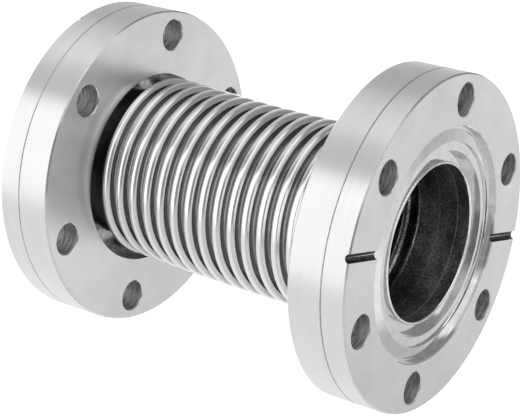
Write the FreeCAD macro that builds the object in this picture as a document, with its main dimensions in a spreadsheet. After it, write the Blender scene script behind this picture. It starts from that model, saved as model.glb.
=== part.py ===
import FreeCAD, Part
import math
import os

# Flexible vacuum coupling: two knife-edge flanges joined by a hydroformed metal bellows.
# It stands on its lower flange: +Z runs along the axis, and the origin is the middle of
# the lower gasket face. All sizes are in millimetres.

DIMENSIONS = {
    # Flange blank
    "flange_diameter": 69.3,
    "flange_thickness": 12.7,
    "rim_chamfer": 0.3,
    # Fine line turned into the rim, measured from the gasket face
    "rim_line_place": 5.2,
    "rim_line_width": 0.3,
    "rim_line_depth": 0.2,
    # Bolt holes, and the land left between them and the rim
    "bolt_hole": 6.7,
    "bolt_count": 6,
    "bolt_land": 1.95,
    "bolt_chamfer": 0.2,
    # Gasket recess and knife edge; depths are measured from the gasket face
    "recess_diameter": 48.2,
    "recess_depth": 1.25,
    "recess_break": 0.25,
    "recess_floor": 0.7,
    "knife_diameter": 41.9,
    "knife_depth": 0.7,
    "knife_lean": 0.1,
    "pocket_depth": 1.2,
    # Relief groove round the weld lip
    "relief_diameter": 38.0,
    "relief_depth": 3.0,
    "lip_depth": 2.1,
    "lip_thickness": 0.38,
    # Web that carries the weld lip, and the clearance bore behind it
    "web_thickness": 2.7,
    "clearance_break": 0.15,
    # Half-round leak-check grooves
    "leak_groove": 1.8,
    "leak_groove_count": 2,
    # Bellows
    "bore_diameter": 32.2,
    "bellows_wall": 0.2,
    "crest_diameter": 39.4,
    "crest_width": 2.26,
    "pitch": 3.63,
    "convolutions": 16,
    "first_crest": 2.63,
    # Fits
    "cuff_clearance": 0.03,
    "weld_clearance": 0.03,
    "bellows_clearance": 1.1,
    # How far the lower flange is turned against the upper one, in degrees
    "lower_turn": -60,
}

FULL_TURN = 360
HALF_TURN = 180
TINY_VOLUME = 1e-6

# Places that several pieces share, written in the sheet's own names
CUFF_INSIDE = "sizes.bore_diameter / 2"
CUFF_OUTSIDE = "(sizes.bore_diameter / 2 + sizes.bellows_wall)"
LIP_INSIDE = f"({CUFF_OUTSIDE} + sizes.cuff_clearance)"
LIP_OUTSIDE = f"({LIP_INSIDE} + sizes.lip_thickness)"
BOLT_CIRCLE_RADIUS = "(sizes.flange_diameter / 2 - sizes.bolt_land - sizes.bolt_hole / 2)"
OVERALL_LENGTH = (
    "(2 * (sizes.flange_thickness + sizes.first_crest)"
    " + (sizes.convolutions - 1) * sizes.pitch)"
)


def make_sheet(doc):
    """Write the driving dimensions into a spreadsheet, one named cell each."""
    sheet = doc.addObject("Spreadsheet::Sheet", "sizes")
    for row, (name, value) in enumerate(DIMENSIONS.items(), start=1):
        sheet.set(f"A{row}", name)
        sheet.set(f"B{row}", str(value))
        sheet.setAlias(f"B{row}", name)
    doc.recompute()
    return sheet


def number(sheet, expression):
    """Return the value that an expression has now."""
    value = sheet.evalExpression(expression)
    return float(getattr(value, "Value", value))


def origin_feature(body, role):
    """Find a plane or axis of the body's own origin."""
    return next(item for item in body.Origin.OriginFeatures if item.Role == role)


def make_body(doc, name):
    """Start an empty body whose label names its file."""
    body = doc.addObject("PartDesign::Body", name)
    body.Label = name
    return body


def make_sketch(body, name, plane="XZ_Plane"):
    """Start a sketch on one of the body's own origin planes."""
    sketch = body.newObject("Sketcher::SketchObject", name)
    sketch.AttachmentSupport = [(origin_feature(body, plane), "")]
    sketch.MapMode = "FlatFace"
    return sketch


def bind(sketch, constraint, expression):
    """Tie a dimension of the sketch to the sheet."""
    sketch.setExpression(f"Constraints[{constraint}]", expression)


def arc_between(start, end, radius, turn):
    """Return the minor arc from start to end; turn is 1 anticlockwise, -1 clockwise."""
    chord = end - start
    middle = (start + end) / 2
    height = math.sqrt(max(radius**2 - (chord.Length / 2) ** 2, 0))
    side = FreeCAD.Vector(-chord.y, chord.x, 0).normalize()
    centre = middle + side * height * turn
    first, last = (start, end) if turn > 0 else (end, start)
    angles = [math.atan2(point.y - centre.y, point.x - centre.x) for point in (first, last)]
    if angles[1] < angles[0]:
        angles[1] += 2 * math.pi
    circle = Part.Circle(centre, FreeCAD.Vector(0, 0, 1), radius)
    return Part.ArcOfCircle(circle, angles[0], angles[1])


def draw_outline(sheet, sketch, corners):
    """Draw a closed outline whose corners are all bound to the sheet.

    A corner is (x, y) with a straight edge to the next one, or (x, y, radius, turn)
    with an arc to it.
    """
    import Sketcher

    points = [
        FreeCAD.Vector(number(sheet, corner[0]), number(sheet, corner[1]), 0)
        for corner in corners
    ]
    ends = []
    for place, corner in enumerate(corners):
        start = points[place]
        end = points[(place + 1) % len(corners)]
        if len(corner) == 2:
            edge = sketch.addGeometry(Part.LineSegment(start, end))
            ends.append((edge, 1, 2))
            continue
        radius, turn = corner[2:]
        edge = sketch.addGeometry(arc_between(start, end, number(sheet, radius), turn))
        ends.append((edge, 1, 2) if turn > 0 else (edge, 2, 1))
    for place, (edge, _, end) in enumerate(ends):
        following, start, _ = ends[(place + 1) % len(ends)]
        sketch.addConstraint(Sketcher.Constraint("Coincident", edge, end, following, start))
    for corner, point, (edge, start, _) in zip(corners, points, ends):
        across = Sketcher.Constraint("DistanceX", -1, 1, edge, start, point.x)
        bind(sketch, sketch.addConstraint(across), corner[0])
        up = Sketcher.Constraint("DistanceY", -1, 1, edge, start, point.y)
        bind(sketch, sketch.addConstraint(up), corner[1])
        if len(corner) > 2:
            size = Sketcher.Constraint("Radius", edge, number(sheet, corner[2]))
            bind(sketch, sketch.addConstraint(size), corner[2])


def turn_profile(body, sketch, kind, name):
    """Turn a sketch right round its own upright axis, to add or to cut."""
    feature = body.newObject(f"PartDesign::{kind}", name)
    feature.Profile = sketch
    feature.ReferenceAxis = (sketch, ["V_Axis"])
    feature.Angle = FULL_TURN
    sketch.Visibility = False
    return feature


def repeat_round(body, feature, count, name):
    """Space copies of a feature evenly round the axis."""
    pattern = body.newObject("PartDesign::PolarPattern", name)
    pattern.Originals = [feature]
    pattern.Axis = (origin_feature(body, "Z_Axis"), [""])
    pattern.Angle = FULL_TURN
    pattern.setExpression("Occurrences", count)
    body.Tip = pattern
    return pattern


def flange_outline():
    """Half section of the flange: gasket face at height 0, bellows side above it."""
    rim = "sizes.flange_diameter / 2"
    face_edge = "sizes.flange_diameter / 2 - sizes.rim_chamfer"
    line_half = "sizes.rim_line_width / 2"
    recess = "sizes.recess_diameter / 2"
    knife = "sizes.knife_diameter / 2"
    relief = "sizes.relief_diameter / 2"
    clearance = "sizes.crest_diameter / 2 + sizes.bellows_clearance"
    web_top = "sizes.relief_depth + sizes.web_thickness"
    return [
        (LIP_INSIDE, "sizes.lip_depth"),
        (LIP_OUTSIDE, "sizes.lip_depth"),
        (LIP_OUTSIDE, "sizes.relief_depth"),
        (relief, "sizes.relief_depth"),
        (relief, "sizes.pocket_depth"),
        (f"{knife} - sizes.knife_lean", "sizes.pocket_depth"),
        (knife, "sizes.knife_depth"),
        (f"{recess} - sizes.recess_floor", "sizes.recess_depth"),
        (recess, "sizes.recess_depth"),
        (recess, "sizes.recess_break"),
        (f"{recess} + sizes.recess_break", "0"),
        (face_edge, "0"),
        (rim, "sizes.rim_chamfer"),
        (rim, f"sizes.rim_line_place - {line_half}"),
        (f"{rim} - sizes.rim_line_depth", "sizes.rim_line_place"),
        (rim, f"sizes.rim_line_place + {line_half}"),
        (rim, "sizes.flange_thickness - sizes.rim_chamfer"),
        (face_edge, "sizes.flange_thickness"),
        (f"{clearance} + sizes.clearance_break", "sizes.flange_thickness"),
        (clearance, "sizes.flange_thickness - sizes.clearance_break"),
        (clearance, web_top),
        (LIP_INSIDE, web_top),
    ]


def bolt_hole_outline():
    """Half section of one bolt hole, with its edges broken at both faces."""
    radius = "sizes.bolt_hole / 2"
    mouth = "sizes.bolt_hole / 2 + sizes.bolt_chamfer"
    return [
        ("0", "0"),
        (mouth, "0"),
        (radius, "sizes.bolt_chamfer"),
        (radius, "sizes.flange_thickness - sizes.bolt_chamfer"),
        (mouth, "sizes.flange_thickness"),
        ("0", "sizes.flange_thickness"),
    ]


def cut_bolt_holes(sheet, body):
    """Bore the bolt holes on their circle."""
    sketch = make_sketch(body, f"{body.Name}_bolt_hole_section")
    sketch.setExpression("AttachmentOffset.Base.x", BOLT_CIRCLE_RADIUS)
    draw_outline(sheet, sketch, bolt_hole_outline())
    hole = turn_profile(body, sketch, "Groove", f"{body.Name}_bolt_hole")
    return repeat_round(body, hole, "sizes.bolt_count", f"{body.Name}_bolt_holes")


def cut_leak_grooves(sheet, body):
    """Cut the half-round grooves that run from the rim into the gasket recess."""
    import Sketcher

    sketch = make_sketch(body, f"{body.Name}_leak_groove_section")
    sketch.setExpression("AttachmentOffset.Base.z", "sizes.flange_diameter / 2")
    radius = number(sheet, "sizes.leak_groove / 2")
    upright = FreeCAD.Vector(0, 0, 1)
    edge = sketch.addGeometry(Part.Circle(FreeCAD.Vector(0, 0, 0), upright, radius))
    sketch.addConstraint(Sketcher.Constraint("Coincident", edge, 3, -1, 1))
    size = sketch.addConstraint(Sketcher.Constraint("Radius", edge, radius))
    bind(sketch, size, "sizes.leak_groove / 2")
    groove = body.newObject("PartDesign::Pocket", f"{body.Name}_leak_groove")
    groove.Profile = sketch
    groove.Type = "Length"
    groove.setExpression(
        "Length",
        "(sizes.flange_diameter - sizes.recess_diameter) / 2 + sizes.recess_floor / 2",
    )
    sketch.Visibility = False
    return repeat_round(body, groove, "sizes.leak_groove_count", f"{body.Name}_leak_grooves")


def make_flange(doc, sheet, name):
    """Make one knife-edge flange with its gasket face at height 0, facing down."""
    body = make_body(doc, name)
    sketch = make_sketch(body, f"{name}_section")
    draw_outline(sheet, sketch, flange_outline())
    blank = turn_profile(body, sketch, "Revolution", f"{name}_blank")
    doc.recompute()
    holes = cut_bolt_holes(sheet, body)
    doc.recompute()
    check_cut(blank, holes)
    grooves = cut_leak_grooves(sheet, body)
    doc.recompute()
    check_cut(holes, grooves)
    return body


def make_weld_bead(doc, sheet, name):
    """Make the bead that closes the weld lip and the cuff's end, in the flange's frame."""
    body = make_body(doc, name)
    sketch = make_sketch(body, f"{name}_section")
    half = f"({LIP_OUTSIDE} - {CUFF_INSIDE}) / 2"
    middle = f"({LIP_OUTSIDE} + {CUFF_INSIDE}) / 2"
    outline = [
        (CUFF_INSIDE, "sizes.lip_depth", half, 1),
        (middle, f"sizes.lip_depth - {half}", half, 1),
        (LIP_OUTSIDE, "sizes.lip_depth"),
    ]
    draw_outline(sheet, sketch, outline)
    turn_profile(body, sketch, "Revolution", f"{name}_ring")
    doc.recompute()
    return body


def convolution_outline():
    """Section of the first convolution's wall, from root to root, in the bellows' frame."""
    wall = "sizes.bellows_wall"
    crest = "sizes.crest_width / 2"
    crest_inside = f"({crest} - {wall})"
    root = f"(sizes.pitch / 2 - {crest})"
    root_inside = f"({root} + {wall})"
    place = "(sizes.convolutions - 1) * sizes.pitch / 2"
    low = f"-({place}) - sizes.pitch / 2"
    high = f"-({place}) + sizes.pitch / 2"
    root_centre = f"{CUFF_OUTSIDE} + {root}"
    crest_centre = f"sizes.crest_diameter / 2 - {crest}"
    return [
        (CUFF_OUTSIDE, low, root, -1),
        (root_centre, f"{low} + {root}"),
        (crest_centre, f"-({place}) - {crest}", crest, 1),
        ("sizes.crest_diameter / 2", f"-({place})", crest, 1),
        (crest_centre, f"-({place}) + {crest}"),
        (root_centre, f"{high} - {root}", root, -1),
        (CUFF_OUTSIDE, high),
        (CUFF_INSIDE, high, root_inside, 1),
        (root_centre, f"{high} - {root_inside}"),
        (crest_centre, f"-({place}) + {crest_inside}", crest_inside, -1),
        (f"sizes.crest_diameter / 2 - {wall}", f"-({place})", crest_inside, -1),
        (crest_centre, f"-({place}) - {crest_inside}"),
        (root_centre, f"{low} + {root_inside}", root_inside, 1),
        (CUFF_INSIDE, low),
    ]


def cuff_outline():
    """Section of the plain end that runs through the flange up to the weld bead."""
    end = f"-{OVERALL_LENGTH} / 2 + sizes.lip_depth + sizes.weld_clearance"
    root = "-sizes.convolutions * sizes.pitch / 2"
    return [
        (CUFF_INSIDE, end),
        (CUFF_OUTSIDE, end),
        (CUFF_OUTSIDE, root),
        (CUFF_INSIDE, root),
    ]


def make_bellows(doc, sheet):
    """Make the one-piece bellows with its two cuffs, centred on its own mid-plane."""
    body = make_body(doc, "bellows")
    section = make_sketch(body, "convolution_section")
    draw_outline(sheet, section, convolution_outline())
    convolution = turn_profile(body, section, "Revolution", "convolution")
    doc.recompute()
    row = body.newObject("PartDesign::LinearPattern", "convolution_row")
    row.Originals = [convolution]
    row.Direction = (origin_feature(body, "Z_Axis"), [""])
    row.setExpression("Length", "(sizes.convolutions - 1) * sizes.pitch")
    row.setExpression("Occurrences", "sizes.convolutions")
    body.Tip = row
    doc.recompute()
    cuff_section = make_sketch(body, "cuff_section")
    draw_outline(sheet, cuff_section, cuff_outline())
    cuff = turn_profile(body, cuff_section, "Revolution", "cuff")
    doc.recompute()
    both_cuffs = body.newObject("PartDesign::Mirrored", "both_cuffs")
    both_cuffs.Originals = [cuff]
    both_cuffs.MirrorPlane = (origin_feature(body, "XY_Plane"), [""])
    body.Tip = both_cuffs
    doc.recompute()
    return body


def check_cut(before, after):
    """Stop if a cut took nothing away."""
    if before.Shape.Volume - after.Shape.Volume < TINY_VOLUME:
        raise RuntimeError(f"{after.Label} cuts nothing")


def check_document(doc, pieces):
    """Stop if any object failed, or any piece is not one valid solid."""
    for item in doc.Objects:
        if "Invalid" in item.State or "Error" in item.State:
            raise RuntimeError(f"{item.Label} failed: {item.State}")
    for piece in pieces:
        if piece.Shape.isNull() or not piece.Shape.isValid():
            raise RuntimeError(f"{piece.Label} has no valid shape")
        if len(piece.Shape.Solids) != 1:
            raise RuntimeError(f"{piece.Label} is not one solid")


def place_pieces(sheet, lower, upper, bellows):
    """Stand the pieces on the lower gasket face, the upper ones turned upside down."""
    length = number(sheet, OVERALL_LENGTH)
    turn = number(sheet, "sizes.lower_turn")
    axis = FreeCAD.Vector(0, 0, 1)
    for piece in lower:
        piece.Placement = FreeCAD.Placement(FreeCAD.Vector(), FreeCAD.Rotation(axis, turn))
    over = FreeCAD.Rotation(FreeCAD.Vector(0, 1, 0), HALF_TURN)
    for piece in upper:
        piece.Placement = FreeCAD.Placement(FreeCAD.Vector(0, 0, length), over)
    middle = FreeCAD.Vector(0, 0, length / 2)
    bellows.Placement = FreeCAD.Placement(middle, FreeCAD.Rotation())


def main():
    """Build the document and write one file for each piece."""
    doc = FreeCAD.newDocument("vacuum_coupling")
    sheet = make_sheet(doc)
    lower = [
        make_flange(doc, sheet, "lower_flange"),
        make_weld_bead(doc, sheet, "lower_weld_bead"),
    ]
    upper = [
        make_flange(doc, sheet, "upper_flange"),
        make_weld_bead(doc, sheet, "upper_weld_bead"),
    ]
    bellows = make_bellows(doc, sheet)
    place_pieces(sheet, lower, upper, bellows)
    doc.recompute()
    pieces = lower + upper + [bellows]
    check_document(doc, pieces)
    os.makedirs("parts", exist_ok=True)
    for piece in pieces:
        piece.Shape.exportStep(f"parts/{piece.Label}.step")


main()
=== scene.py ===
"""Looks of the flexible vacuum coupling: finishes, a turned bellows with a slight bow, a pale studio
and a camera.

The coupling stands on its lower flange, +Z along its axis. Sizes are in metres.
"""
import math

import bpy
from mathutils import Matrix, Vector


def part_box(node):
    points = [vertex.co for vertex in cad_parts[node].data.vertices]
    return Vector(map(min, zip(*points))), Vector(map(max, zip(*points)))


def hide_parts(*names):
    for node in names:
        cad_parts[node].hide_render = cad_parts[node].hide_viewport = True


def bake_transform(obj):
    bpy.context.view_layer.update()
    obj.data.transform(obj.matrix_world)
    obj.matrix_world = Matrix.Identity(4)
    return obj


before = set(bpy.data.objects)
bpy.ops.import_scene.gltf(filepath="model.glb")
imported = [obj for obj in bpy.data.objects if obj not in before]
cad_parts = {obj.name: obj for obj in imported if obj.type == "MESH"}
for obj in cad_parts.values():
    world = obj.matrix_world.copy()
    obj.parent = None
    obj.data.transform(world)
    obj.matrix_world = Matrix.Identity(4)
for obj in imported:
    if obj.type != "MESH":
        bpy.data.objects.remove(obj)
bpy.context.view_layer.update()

MM = 0.001

# Sizes that the frame gives
FLANGE_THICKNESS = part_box("lower_flange")[1].z
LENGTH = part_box("upper_flange")[1].z
RIM_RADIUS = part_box("upper_flange")[1].x
CREST_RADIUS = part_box("bellows")[1].x
CUFF_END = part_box("bellows")[0].z

# Sizes of the flange, as in the part's source
BOLT_CIRCLE_RADIUS = 29.35 * MM
BOLT_HOLE_RADIUS = 3.35 * MM
BOLT_COUNT = 6
RIM_LINE_PLACE = 5.2 * MM
RIM_LINE_HALF = 0.15 * MM
SEAT_RADIUS = 24.35 * MM
SEAT_DEPTH = 3.05 * MM
EDGE_REACH = 0.4 * MM
LEAK_GROOVE_RADIUS = 0.9 * MM
CLEARANCE_RADIUS = 21.0 * MM
LOWER_LEAK_ANGLE = math.radians(30)
UPPER_LEAK_ANGLE = math.radians(90)

# Distances within which a face of a flange belongs to a hole, the rim or a plane
HOLE_SLACK = 0.02 * MM
RIM_SLACK = 0.25 * MM
GROOVE_SLACK = 0.001 * MM
FRONT_SLACK = 0.01 * MM
BACK_SLACK = 0.3 * MM

# Upright part of a face's normal: 0 on an upright wall, 1 on a flat face
WALL_LEVEL = 0.3
STEP_LEVEL = 0.5
BEVEL_LEVEL = 0.95
FLAT_LEVEL = 0.999

# Sizes of the bellows
WALL = 0.2 * MM
BORE_RADIUS = 16.1 * MM
CONVOLUTIONS = 16
PITCH = 3.63 * MM
CREST_HALF = 1.13 * MM

# Unevenness of the crests: its reach, and its wave in radians from crest to crest
CREST_WANDER = 0.06 * MM
WANDER_STEP = 2.3
WANDER_START = 0.7

# Bow of the bellows to one side: its reach, and after how many crests it turns over
BOW = 0.7 * MM
BOW_CRESTS = 10

# Painted highlights in the bore, bright rings where the roots inside catch light: depth past the
# cuff's end and strength
BORE_PAINTED_HIGHLIGHTS = ((2.7 * MM, 0.15), (6.9 * MM, 0.06))
HIGHLIGHT_RING_WIDTH = 0.3 * MM

# How fine the bellows mesh is
STEPS_AROUND = 144
STEPS_CREST = 14
STEPS_ROOT = 5

# The photograph's view
IMAGE_WIDTH = 522
FOCAL_PIXELS = 1664.4
SENSOR_WIDTH = 36.0
CAMERA_PLACE = Vector((-56.6, -291.36, 229.46)) * MM
CAMERA_AIM = Vector((6.13, 18.94, 30.32)) * MM
CAMERA_ROLL = 105.63
NEAREST_SEEN = 0.01

# Directions in plan are degrees from the camera's side of the axis, turning towards +X
CAMERA_SIDE = math.atan2(CAMERA_PLACE.y, CAMERA_PLACE.x)

# Paper floor: half its width, and its brightness to the eye
FLOOR_REACH = 12.0
FLOOR_GLOW = 0.72

# Light of the studio tent, and its panels, each laid over the ones before it: start, end, low
# and high in degrees, softness of the sides and of the top and bottom, brightness
TENT_LEVEL = 0.76
PANELS = {
    "paper_right": (44, 157, -95, 5, 12, 24, 1.1),
    "paper_back_right": (157, 190, -95, 5, 8, 24, 1.1),
    "paper_back_left": (-190, -144, -95, 5, 10, 24, 1.4),
    "screen_left_low": (-142, -80, -95, 0, 10, 20, 0.70),
    "paper_strip_left": (-74, -56, -95, 0, 8, 20, 1.0),
    "screen_front_left": (-54, -24, -95, -6, 8, 14, 0.40),
    "screen_left_high": (-162, -92, -5, 62, 14, 16, 0.34),
    "softbox_left": (-88, -18, 2, 30, 10, 12, 1.35),
    "softbox_left_top": (-76, -44, 24, 46, 10, 10, 1.0),
    "paper_front": (-27, 44, -95, 10, 10, 12, 1.8),
    "screen_front": (-12, 44, 22, 66, 14, 12, 0.30),
    "screen_far_right": (140, 176, 12, 38, 6, 6, 0.52),
    "paper_far_right": (124, 174, 40, 68, 12, 10, 0.95),
}


class Nodes:
    """Short ways to add and join the nodes of one material or world."""

    def __init__(self, tree):
        self.tree = tree

    def add(self, kind, inputs=None, **settings):
        """Add a node; inputs may hold plain values or sockets of other nodes."""
        node = self.tree.nodes.new(kind)
        for name, value in settings.items():
            setattr(node, name, value)
        for name, value in (inputs or {}).items():
            self.give(node.inputs[name], value)
        return node

    def give(self, socket, value):
        """Set a socket to a value, or link it to another socket."""
        if isinstance(value, bpy.types.NodeSocket):
            self.tree.links.new(value, socket)
        else:
            socket.default_value = value

    def math(self, operation, first, second=0.0):
        """One arithmetic step."""
        return self.add("ShaderNodeMath", {0: first, 1: second}, operation=operation).outputs[0]

    def mixed(self, first, second):
        """Sum of two pairs of (value, share)."""
        return self.math("ADD", self.math("MULTIPLY", *first), self.math("MULTIPLY", *second))

    def swing(self, value, reach):
        """A value between 0 and 1 turned into one about 0, with so much between its ends."""
        return self.math("MULTIPLY", self.math("SUBTRACT", value, 0.5), reach)

    def noise(self, vector, scale, detail=3.0, roughness=0.5):
        """Noise between 0 and 1 over a vector."""
        node = self.add(
            "ShaderNodeTexNoise",
            {"Vector": vector, "Scale": scale, "Detail": detail, "Roughness": roughness},
        )
        return node.outputs["Fac"]

    def stretch(self, vector, scale):
        """A vector with each axis scaled by itself."""
        node = self.add("ShaderNodeMapping", {"Vector": vector, "Scale": scale})
        return node.outputs["Vector"]

    def ramp(self, factor, *stops):
        """Grey tones between stops of (place, grey)."""
        node = self.add("ShaderNodeValToRGB", {"Fac": factor})
        stop_list = node.color_ramp.elements
        while len(stop_list) < len(stops):
            stop_list.new(1.0)
        for element, (place, grey) in zip(stop_list, stops):
            element.position = place
            element.color = (grey, grey, grey, 1)
        return node.outputs["Color"]

    def bump(self, height, depth, strength=1.0, normal=None):
        """Normals bent by a height between 0 and 1 that stands for a depth in metres."""
        inputs = {"Height": height, "Distance": depth, "Strength": strength}
        if normal is not None:
            inputs["Normal"] = normal
        return self.add("ShaderNodeBump", inputs).outputs["Normal"]


def new_material(name):
    """A material with nothing but its shader, and the ways to add to it."""
    material = bpy.data.materials.new(name)
    material.use_nodes = True
    return material, Nodes(material.node_tree), material.node_tree.nodes["Principled BSDF"]


def metal(shader, roughness, anisotropy=0.0):
    """Set a shader to bare metal."""
    shader.inputs["Metallic"].default_value = 1.0
    shader.inputs["Roughness"].default_value = roughness
    shader.inputs["Anisotropic"].default_value = anisotropy


def turned_tangent(nodes, shader):
    """Spread highlights across the turning marks, which run round the axis."""
    tangent = nodes.add("ShaderNodeTangent", direction_type="RADIAL", axis="Z")
    nodes.give(shader.inputs["Tangent"], tangent.outputs["Tangent"])
    shader.inputs["Anisotropic Rotation"].default_value = 0.25


def place_of(nodes):
    """The place on the object, in metres."""
    return nodes.add("ShaderNodeTexCoord").outputs["Object"]


def radius_of(nodes, place):
    """Distance from the axis."""
    flat = nodes.add(
        "ShaderNodeVectorMath", {0: place, 1: (1, 1, 0)}, operation="MULTIPLY"
    ).outputs["Vector"]
    return nodes.add("ShaderNodeVectorMath", {0: flat}, operation="LENGTH").outputs["Value"]


def turned_rim():
    """Turned rim: fine lines run round it, so highlights spread along the axis."""
    material, nodes, shader = new_material("turned_rim")
    metal(shader, roughness=0.42, anisotropy=1.0)
    turned_tangent(nodes, shader)
    place = place_of(nodes)
    lines = nodes.noise(nodes.stretch(place, (30, 30, 5200)), scale=1.0, detail=4.0, roughness=0.6)
    clouds = nodes.noise(nodes.stretch(place, (60, 60, 160)), scale=1.0, detail=2.0)
    tone = nodes.mixed((lines, 0.6), (clouds, 0.4))
    nodes.give(shader.inputs["Base Color"], nodes.ramp(tone, (0.3, 0.80), (0.7, 0.90)))
    nodes.give(shader.inputs["Normal"], nodes.bump(lines, depth=0.004 * MM, strength=0.35))
    return material


def turned_face(name, low, high, roughness):
    """Faced surface: fine rings about the axis under soft clouds."""
    material, nodes, shader = new_material(name)
    metal(shader, roughness, anisotropy=0.5)
    turned_tangent(nodes, shader)
    place = place_of(nodes)
    radius = radius_of(nodes, place)
    rings = nodes.add(
        "ShaderNodeTexNoise", {"W": radius, "Scale": 6000.0, "Detail": 3.0}, noise_dimensions="1D"
    ).outputs["Fac"]
    clouds = nodes.noise(place, scale=120.0, detail=4.0, roughness=0.55)
    tone = nodes.mixed((rings, 0.35), (clouds, 0.65))
    nodes.give(shader.inputs["Base Color"], nodes.ramp(tone, (0.35, low), (0.65, high)))
    nodes.give(shader.inputs["Normal"], nodes.bump(rings, depth=0.003 * MM, strength=0.5))
    return material


def drilled_wall_painted_shade():
    """Wall of a drilled hole: dull, with rings from the drill, and a base colour held darker than the
    faces as painted shade.
    """
    material, nodes, shader = new_material("drilled_wall_painted_shade")
    metal(shader, roughness=0.55)
    place = place_of(nodes)
    rings = nodes.noise(nodes.stretch(place, (300, 300, 3000)), scale=1.0, detail=4.0, roughness=0.65)
    # The low overall tone is painted shade inside the holes; the rings are drill marks.
    nodes.give(shader.inputs["Base Color"], nodes.ramp(rings, (0.35, 0.26), (0.62, 0.80)))
    nodes.give(shader.inputs["Normal"], nodes.bump(rings, depth=0.03 * MM, strength=0.4))
    return material


def seat_metal(name, low, high):
    """Finely turned gasket seat and knife edge, or the walls of their steps; the lower tones given
    for the step walls are painted shade.
    """
    material, nodes, shader = new_material(name)
    metal(shader, roughness=0.1, anisotropy=0.2)
    turned_tangent(nodes, shader)
    clouds = nodes.noise(place_of(nodes), scale=500.0)
    nodes.give(shader.inputs["Base Color"], nodes.ramp(clouds, (0.35, low), (0.65, high)))
    nodes.give(shader.inputs["Normal"], nodes.bump(clouds, depth=0.004 * MM, strength=0.4))
    return material


def groove_metal():
    """Walls of the small grooves: rough from the cutter, with speckles, and a base colour down to
    almost black as painted shade.
    """
    material, nodes, shader = new_material("groove_wall_painted_shade")
    metal(shader, roughness=0.45)
    speckle = nodes.noise(place_of(nodes), scale=4000.0, detail=4.0, roughness=0.7)
    # Painted shade: the base colour drops to almost black between the pale speckles.
    nodes.give(shader.inputs["Base Color"], nodes.ramp(speckle, (0.5, 0.004), (0.72, 0.6)))
    nodes.give(shader.inputs["Normal"], nodes.bump(speckle, depth=0.02 * MM, strength=0.7))
    return material


def line_metal():
    """Walls of the fine line turned into the rim, with a base colour darker than the rim as painted
    shade.
    """
    material, nodes, shader = new_material("rim_line_painted_shade")
    metal(shader, roughness=0.2)
    tone = nodes.noise(place_of(nodes), scale=900.0)
    # Painted shade: the line's base colour sits well below the rim's.
    nodes.give(shader.inputs["Base Color"], nodes.ramp(tone, (0.3, 0.42), (0.7, 0.56)))
    return material


def edge_metal():
    """Small bevels at the rims and holes: bright where the tool broke the edge."""
    material, nodes, shader = new_material("broken_edge")
    metal(shader, roughness=0.18)
    tone = nodes.noise(place_of(nodes), scale=900.0)
    nodes.give(shader.inputs["Base Color"], nodes.ramp(tone, (0.3, 0.64), (0.7, 0.76)))
    return material


def pocket_metal():
    """Clearance bore and web behind the bellows' ends, with a base colour held dark as painted shade
    under random clouds.
    """
    material, nodes, shader = new_material("clearance_bore_painted_shade")
    metal(shader, roughness=0.12)
    clouds = nodes.noise(place_of(nodes), scale=700.0, detail=4.0)
    # Painted shade: the base colour stays low in this recess; the clouds vary it at random.
    nodes.give(shader.inputs["Base Color"], nodes.ramp(clouds, (0.3, 0.24), (0.7, 0.58)))
    nodes.give(shader.inputs["Normal"], nodes.bump(clouds, depth=0.006 * MM, strength=0.4))
    return material


def weld_metal():
    """Fused bead: bright, with faint ripples round the ring."""
    material, nodes, shader = new_material("fused_bead")
    metal(shader, roughness=0.06)
    ripple = nodes.noise(place_of(nodes), scale=1500.0, detail=2.0)
    nodes.give(shader.inputs["Base Color"], nodes.ramp(ripple, (0.3, 0.88), (0.7, 0.96)))
    nodes.give(shader.inputs["Normal"], nodes.bump(ripple, depth=0.01 * MM, strength=0.5))
    return material


def bellows_metal():
    """Outside of the bellows: fine grit, and a base colour that runs from dark in the grooves to
    light on the crests as painted shade.
    """
    material, nodes, shader = new_material("bellows_outside_grit_and_groove_shade")
    metal(shader, roughness=0.2)
    place = nodes.add("ShaderNodeAttribute", attribute_name="rest_place").outputs["Vector"]
    rise = nodes.add("ShaderNodeAttribute", attribute_name="rise").outputs["Fac"]
    grain = nodes.noise(place, scale=5000.0, detail=4.0, roughness=0.7)
    streaks = nodes.noise(nodes.stretch(place, (90, 90, 2500)), scale=1.0)
    # Painted shade: the base colour darkens from the crests down into the grooves; the grain laid
    # over it is grit.
    level = nodes.math("ADD", rise, nodes.swing(grain, 0.25))
    groove_shade_tones = nodes.ramp(level, (0.25, 0.47), (0.62, 0.57), (0.85, 0.71))
    nodes.give(shader.inputs["Base Color"], groove_shade_tones)
    fine = nodes.bump(grain, depth=0.003 * MM, strength=0.35)
    coarse = nodes.bump(streaks, depth=0.006 * MM, strength=0.4, normal=fine)
    nodes.give(shader.inputs["Normal"], coarse)
    return material


def bore_metal():
    """Inside of the bellows and cuffs: dull and dark, with grain, clouds and painted bright rings
    that stand for highlights.
    """
    material, nodes, shader = new_material("bellows_inside")
    metal(shader, roughness=0.4)
    place = nodes.add("ShaderNodeAttribute", attribute_name="rest_place").outputs["Vector"]
    grain = nodes.noise(place, scale=3200.0, detail=6.0, roughness=0.8)
    clouds = nodes.noise(nodes.stretch(place, (80, 80, 130)), scale=1.0, roughness=0.6)
    tone = nodes.math("ADD", grain, nodes.swing(clouds, 0.5))
    height = nodes.add("ShaderNodeSeparateXYZ", {"Vector": place}).outputs["Z"]
    off_middle = nodes.math("ABSOLUTE", nodes.math("SUBTRACT", height, LENGTH / 2))
    # Painted highlights: bright rings in the base colour at given depths past each cuff's end.
    for depth, strength in BORE_PAINTED_HIGHLIGHTS:
        middle = LENGTH / 2 - CUFF_END - depth
        ring = band(nodes, off_middle, middle - HIGHLIGHT_RING_WIDTH / 2, middle + HIGHLIGHT_RING_WIDTH / 2, HIGHLIGHT_RING_WIDTH)
        tone = nodes.math("ADD", tone, nodes.math("MULTIPLY", ring, strength))
    nodes.give(shader.inputs["Base Color"], nodes.ramp(tone, (0.44, 0.12), (0.68, 1.0)))
    nodes.give(shader.inputs["Normal"], nodes.bump(grain, depth=0.02 * MM, strength=0.6))
    return material


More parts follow.
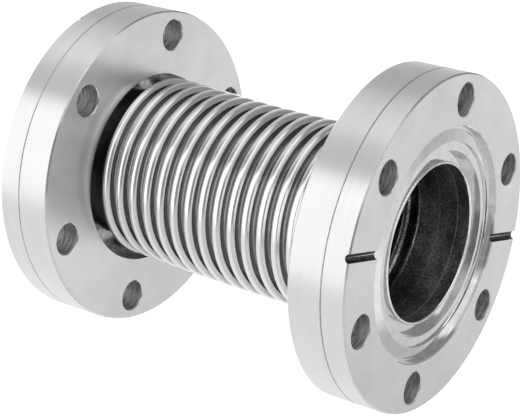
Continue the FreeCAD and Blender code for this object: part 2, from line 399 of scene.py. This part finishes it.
def flange_zone(centre, normal, gasket_height, leak_angle):
    """Name the finish of one small face of a flange from where it lies."""
    depth = abs(centre.z - gasket_height)
    radius = math.hypot(centre.x, centre.y)
    level = abs(normal.z)
    angle = math.atan2(centre.y, centre.x)
    step = 2 * math.pi / BOLT_COUNT
    off_hole = (angle + step / 2) % step - step / 2
    hole_x = radius * math.cos(off_hole) - BOLT_CIRCLE_RADIUS
    hole_y = radius * math.sin(off_hole)
    from_hole = math.hypot(hole_x, hole_y)
    if from_hole < BOLT_HOLE_RADIUS + HOLE_SLACK and level < WALL_LEVEL:
        return "hole"
    across = abs(radius * math.sin(angle - leak_angle))
    in_groove = across < LEAK_GROOVE_RADIUS and GROOVE_SLACK < depth < LEAK_GROOVE_RADIUS
    if in_groove and level < FLAT_LEVEL and radius > SEAT_RADIUS:
        return "groove"
    near_hole = from_hole < BOLT_HOLE_RADIUS + EDGE_REACH
    near_rim = radius > RIM_RADIUS - EDGE_REACH
    near_face = min(depth, FLANGE_THICKNESS - depth) < EDGE_REACH
    near_clearance = abs(radius - CLEARANCE_RADIUS) < EDGE_REACH and depth > FLANGE_THICKNESS / 2
    is_bevel = WALL_LEVEL < level < BEVEL_LEVEL
    if is_bevel and near_face and (near_hole or near_rim or near_clearance):
        return "edge"
    if radius > RIM_RADIUS - RIM_SLACK:
        in_line = abs(depth - RIM_LINE_PLACE) < RIM_LINE_HALF
        return "line" if in_line else "rim"
    if depth < FRONT_SLACK:
        return "front"
    if radius < SEAT_RADIUS and depth < SEAT_DEPTH:
        return "seat" if level > STEP_LEVEL else "step"
    if depth > FLANGE_THICKNESS - BACK_SLACK and radius > CLEARANCE_RADIUS:
        return "back"
    if radius < CLEARANCE_RADIUS:
        return "pocket"
    return "front"


def dress_flange(name, gasket_height, leak_angle, finishes):
    """Give each zone of a flange its own finish."""
    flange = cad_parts[name]
    flange.data.materials.clear()
    zones = list(finishes)
    for zone in zones:
        flange.data.materials.append(finishes[zone])
    for face in flange.data.polygons:
        zone = flange_zone(face.center, face.normal, gasket_height, leak_angle)
        face.material_index = zones.index(zone)


def arc(centre, radius, first, last, steps, inward=False):
    """Points of a section's arc as (radius, height, normal out, normal up), first point left out."""
    points = []
    for step in range(1, steps + 1):
        angle = math.radians(first + (last - first) * step / steps)
        out, up = math.cos(angle), math.sin(angle)
        sign = -1 if inward else 1
        points.append((centre[0] + radius * out, centre[1] + radius * up, sign * out, sign * up))
    return points


def crest_height(index):
    """Height of a crest's middle; the real ones wander a little from even spacing."""
    low = LENGTH / 2 - (CONVOLUTIONS - 1) * PITCH / 2
    wave = math.sin(WANDER_STEP * index + WANDER_START)
    wander = CREST_WANDER * wave * math.sin(math.pi * index / (CONVOLUTIONS - 1))
    return low + index * PITCH + wander


def root_height(index):
    """Height of the root below a crest."""
    if index == 0:
        return crest_height(0) - PITCH / 2
    if index == CONVOLUTIONS:
        return crest_height(CONVOLUTIONS - 1) + PITCH / 2
    return (crest_height(index - 1) + crest_height(index)) / 2


def bow_at(height):
    """Shift of the bellows' middle towards +X: most at the lower end, and dying out upwards."""
    from_cuff = min(height - root_height(0), root_height(CONVOLUTIONS) - height)
    free = min(max(from_cuff / (PITCH / 2), 0), 1)
    crests = (height - crest_height(0)) / PITCH
    return -BOW * free * math.cos(math.pi * crests / BOW_CRESTS) * math.exp(-crests / BOW_CRESTS)


def skin_section(first, last, offset):
    """Section of one skin over some convolutions; offset is 0 outside and the wall inside."""
    crest_radius = CREST_HALF - offset
    crest_out = CREST_RADIUS - CREST_HALF
    root_r = PITCH / 2 - CREST_HALF
    root_out = BORE_RADIUS + WALL + root_r
    root_radius = root_r + offset
    points = [(BORE_RADIUS + WALL - offset, root_height(first), 1, 0)]
    for index in range(first, last):
        crest = crest_height(index)
        below, above = root_height(index), root_height(index + 1)
        points += arc((root_out, below), root_radius, 180, 90, STEPS_ROOT, inward=True)
        points += [(crest_out, crest - crest_radius, 0, -1)]
        points += arc((crest_out, crest), crest_radius, -90, 90, STEPS_CREST)
        points += [(root_out, above - root_radius, 0, 1)]
        points += arc((root_out, above), root_radius, 270, 180, STEPS_ROOT, inward=True)
    return points


def rise_of(radius):
    """How far out a point lies, from 0 at the bore to 1 at the crests; it sets the painted shade of
    the grooves.
    """
    return (radius - BORE_RADIUS) / (CREST_RADIUS - BORE_RADIUS)


def lathe(name, outside, inside, materials):
    """Turn an outer and an inner section, which share their ends, into one closed skin."""
    section = [(point, 0, 1) for point in outside] + [(point, 1, -1) for point in reversed(inside)]
    places, normals, faces, kinds = [], [], [], []
    for (radius, height, out, up), _, sign in section:
        shift = bow_at(height)
        for step in range(STEPS_AROUND):
            angle = 2 * math.pi * step / STEPS_AROUND
            cos, sin = math.cos(angle), math.sin(angle)
            places.append((radius * cos + shift, radius * sin, height))
            normals.append((sign * out * cos, sign * out * sin, sign * up))
    for ring in range(len(section)):
        following = (ring + 1) % len(section)
        for step in range(STEPS_AROUND):
            beside = (step + 1) % STEPS_AROUND
            faces.append((
                ring * STEPS_AROUND + step,
                ring * STEPS_AROUND + beside,
                following * STEPS_AROUND + beside,
                following * STEPS_AROUND + step,
            ))
            kinds.append(section[ring][1])
    mesh = bpy.data.meshes.new(name)
    mesh.from_pydata(places, [], faces)
    for material in materials:
        mesh.materials.append(material)
    mesh.polygons.foreach_set("material_index", kinds)
    mesh.polygons.foreach_set("use_smooth", [True] * len(faces))
    rest = mesh.attributes.new("rest_place", "FLOAT_VECTOR", "POINT")
    rest.data.foreach_set("vector", [value for place in places for value in place])
    rise = mesh.attributes.new("rise", "FLOAT", "POINT")
    rise.data.foreach_set("value", [rise_of(math.hypot(x, y)) for x, y, _ in places])
    mesh.normals_split_custom_set_from_vertices(normals)
    mesh.update()
    piece = bpy.data.objects.new(name, mesh)
    bpy.context.scene.collection.objects.link(piece)
    return piece


def flip(points):
    """The same section at the other end of the coupling."""
    return [(radius, LENGTH - height, out, -up) for radius, height, out, up in reversed(points)]


def make_bellows():
    """Build the bellows as two halves that meet at a root half way up, in place of the frame's
    bellows.
    """
    materials = [bellows_metal(), bore_metal()]
    half = CONVOLUTIONS // 2
    outside_cuff = [(BORE_RADIUS + WALL, CUFF_END, 1, 0)]
    inside_cuff = [(BORE_RADIUS, CUFF_END, 1, 0)]
    lower = lathe(
        "bellows_lower_half",
        outside_cuff + skin_section(0, half, 0),
        inside_cuff + skin_section(0, half, WALL),
        materials,
    )
    upper = lathe(
        "bellows_upper_half",
        skin_section(half, CONVOLUTIONS, 0) + flip(outside_cuff),
        skin_section(half, CONVOLUTIONS, WALL) + flip(inside_cuff),
        materials,
    )
    for piece in (lower, upper):
        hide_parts("bellows")
    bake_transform(lower)
    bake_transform(upper)


def floor_material():
    """White paper: it keeps shadows and shows as white to the eye."""
    material, nodes, shader = new_material("white_paper")
    shader.inputs["Base Color"].default_value = (0.9, 0.9, 0.9, 1)
    shader.inputs["Roughness"].default_value = 0.9
    shader.inputs["Specular IOR Level"].default_value = 0.0
    path = nodes.add("ShaderNodeLightPath").outputs
    seen = nodes.math("MAXIMUM", path["Is Camera Ray"], path["Is Glossy Ray"])
    seen = nodes.math("MAXIMUM", seen, path["Is Transmission Ray"])
    shader.inputs["Emission Color"].default_value = (1, 1, 1, 1)
    nodes.give(shader.inputs["Emission Strength"], nodes.math("MULTIPLY", seen, FLOOR_GLOW))
    return material


def stage_mesh(name, places, faces, material):
    """A piece of the studio."""
    mesh = bpy.data.meshes.new(name)
    mesh.from_pydata(places, [], faces)
    mesh.materials.append(material)
    piece = bpy.data.objects.new(name, mesh)
    bpy.context.scene.collection.objects.link(piece)
    return piece


def make_floor():
    """Wide floor that the lower gasket face stands on; the metal mirrors the tent in its place."""
    reach = FLOOR_REACH
    corners = [(-reach, -reach, 0), (reach, -reach, 0), (reach, reach, 0), (-reach, reach, 0)]
    floor = stage_mesh("floor", corners, [(0, 1, 2, 3)], floor_material())
    floor.visible_glossy = False


def band(nodes, value, first, last, edge):
    """1 between two values and 0 outside them, with soft edges of one width."""
    rising = {"Value": value, "From Min": first - edge / 2, "From Max": first + edge / 2}
    falling = {"Value": value, "From Min": last + edge / 2, "From Max": last - edge / 2}
    rise = nodes.add("ShaderNodeMapRange", rising, interpolation_type="SMOOTHSTEP").outputs[0]
    fall = nodes.add("ShaderNodeMapRange", falling, interpolation_type="SMOOTHSTEP").outputs[0]
    return nodes.math("MULTIPLY", rise, fall)


def make_world():
    """Pale tent of soft panels and screens round the coupling, white to the eye."""
    world = bpy.data.worlds.new("studio")
    bpy.context.scene.world = world
    world.use_nodes = True
    nodes = Nodes(world.node_tree)
    direction = nodes.add("ShaderNodeTexCoord").outputs["Generated"]
    turned = nodes.add("ShaderNodeMapping", {"Vector": direction, "Rotation": (0, 0, -CAMERA_SIDE)})
    axes = nodes.add("ShaderNodeSeparateXYZ", {"Vector": turned.outputs["Vector"]}).outputs
    plan = nodes.math("DEGREES", nodes.math("ARCTAN2", axes["Y"], axes["X"]))
    elevation = nodes.math("DEGREES", nodes.math("ARCSINE", axes["Z"]))
    level = TENT_LEVEL
    for start, end, low, high, side_edge, height_edge, brightness in PANELS.values():
        across = band(nodes, plan, start, end, side_edge)
        mask = nodes.math("MULTIPLY", across, band(nodes, elevation, low, high, height_edge))
        mixed = nodes.add("ShaderNodeMix", {"Factor": mask, "A": level, "B": brightness})
        level = mixed.outputs["Result"]
    seen = nodes.add("ShaderNodeLightPath").outputs["Is Camera Ray"]
    shown = nodes.add("ShaderNodeMix", {"Factor": seen, "A": level, "B": 1.0})
    background = world.node_tree.nodes["Background"]
    nodes.give(background.inputs["Strength"], shown.outputs["Result"])
    background.inputs["Color"].default_value = (1, 1, 1, 1)


def make_camera():
    """The photograph's camera, rolled so that the coupling lies across the picture."""
    camera_data = bpy.data.cameras.new("camera")
    camera_data.sensor_width = SENSOR_WIDTH
    camera_data.lens = FOCAL_PIXELS / IMAGE_WIDTH * SENSOR_WIDTH
    camera_data.clip_start = NEAREST_SEEN
    camera = bpy.data.objects.new("camera", camera_data)
    bpy.context.scene.collection.objects.link(camera)
    aim = (CAMERA_AIM - CAMERA_PLACE).to_track_quat("-Z", "Y").to_matrix().to_4x4()
    roll = Matrix.Rotation(math.radians(CAMERA_ROLL), 4, "Z")
    camera.matrix_world = Matrix.Translation(CAMERA_PLACE) @ aim @ roll
    bpy.context.scene.camera = camera


def dress_beads():
    """Give both weld beads their finish."""
    weld = weld_metal()
    for name in ("lower_weld_bead", "upper_weld_bead"):
        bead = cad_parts[name]
        bead.data.materials.clear()
        bead.data.materials.append(weld)


def main():
    """Dress the coupling and set up its studio."""
    finishes = {
        "rim": turned_rim(),
        "front": turned_face("gasket_side_face", low=0.78, high=0.88, roughness=0.3),
        "back": turned_face("bellows_side_face", low=0.80, high=0.91, roughness=0.28),
        "seat": seat_metal("gasket_seat", low=0.78, high=0.86),
        # The step walls get a darker copy of the seat metal: painted shade in the recess.
        "step": seat_metal("seat_step_painted_shade", low=0.66, high=0.78),
        "hole": drilled_wall_painted_shade(),
        "groove": groove_metal(),
        "line": line_metal(),
        "edge": edge_metal(),
        "pocket": pocket_metal(),
    }
    dress_flange("lower_flange", 0, LOWER_LEAK_ANGLE, finishes)
    dress_flange("upper_flange", LENGTH, UPPER_LEAK_ANGLE, finishes)
    dress_beads()
    make_bellows()
    make_world()
    make_floor()
    make_camera()
    bpy.context.scene.view_settings.view_transform = "Standard"


main()
